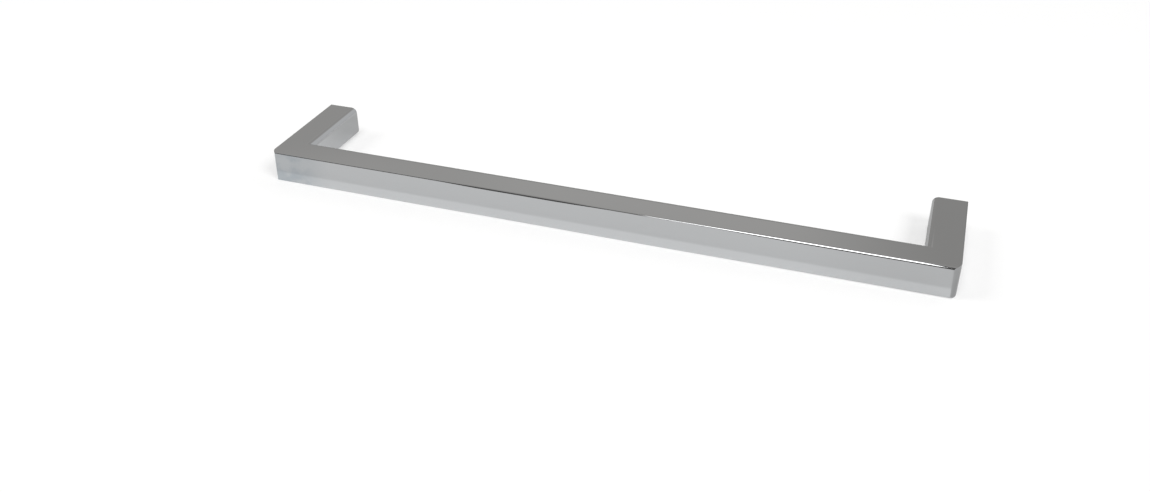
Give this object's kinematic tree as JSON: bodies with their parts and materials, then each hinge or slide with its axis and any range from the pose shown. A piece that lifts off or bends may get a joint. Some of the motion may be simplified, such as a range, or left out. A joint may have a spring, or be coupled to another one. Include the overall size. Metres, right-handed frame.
{
  "type": "cabinet handle",
  "caption": "One-piece D-shaped cabinet handle: a straight square-section bar on short legs with tapped ends, polished and chrome plated.",
  "frame": {"origin": "on the mounting face, halfway between the two fixing holes", "axes": "+X along the bar, +Y out of the legs' ends into the door, +Z across the bar"},
  "size_m": [0.2014, 0.0365, 0.0092],
  "materials": {
    "chrome_plating": "polished zinc casting with bright chrome plating"
  },
  "bodies": {
    "root": {"handle": "chrome_plating"}
  },
  "joints": []
}
